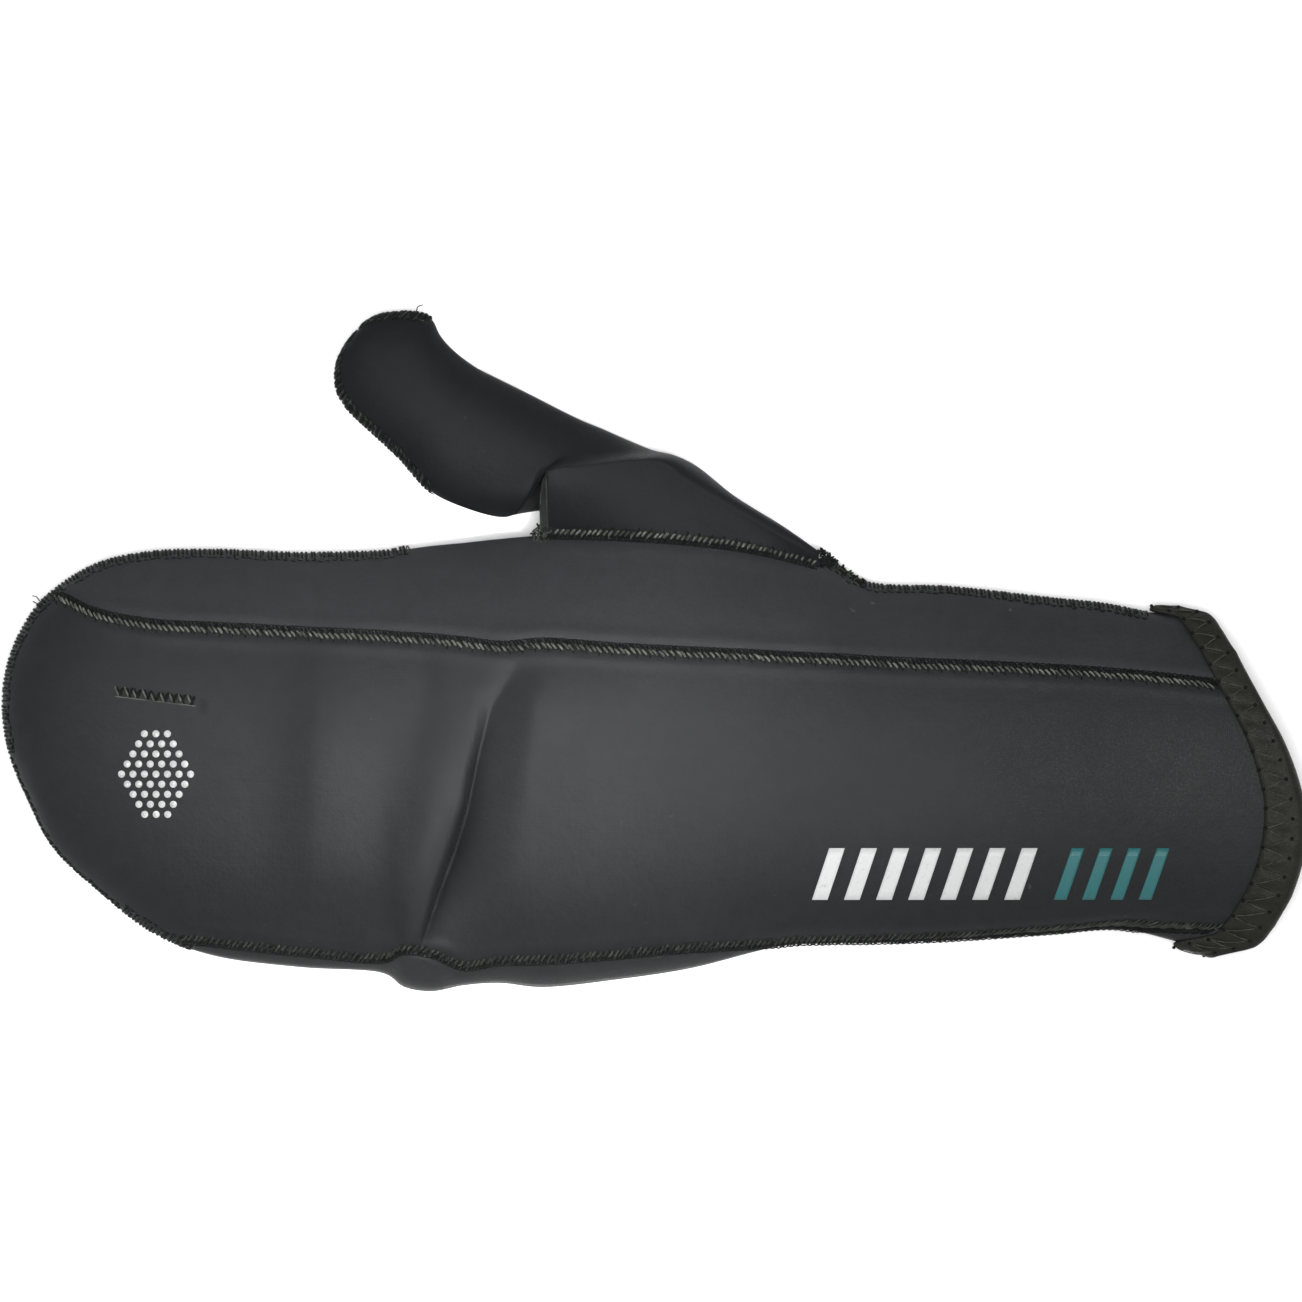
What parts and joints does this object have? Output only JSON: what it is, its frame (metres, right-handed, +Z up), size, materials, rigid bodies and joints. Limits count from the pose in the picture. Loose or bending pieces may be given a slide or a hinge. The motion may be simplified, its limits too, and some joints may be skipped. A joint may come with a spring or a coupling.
{
  "type": "palmless mitt",
  "caption": "Palmless neoprene paddling mitt for the left hand: long forearm tube with a bound cuff, closed finger pocket, open palm and a folded thumb.",
  "frame": {"origin": "middle of the mitt's box in plan, on the surface that it lies on", "axes": "+X from the fingertips to the cuff, +Y towards the thumb, +Z up from the surface through the back of the hand"},
  "size_m": [0.3506, 0.1832, 0.0268],
  "materials": {
    "jersey": "matte knitted jersey laminated on foam",
    "binding": "matte stretch binding"
  },
  "bodies": {
    "root": {"back_panel": "jersey", "side_panel": "jersey", "palm_panel": "jersey", "thumb_panel": "jersey", "cuff_binding": "binding"}
  },
  "joints": []
}
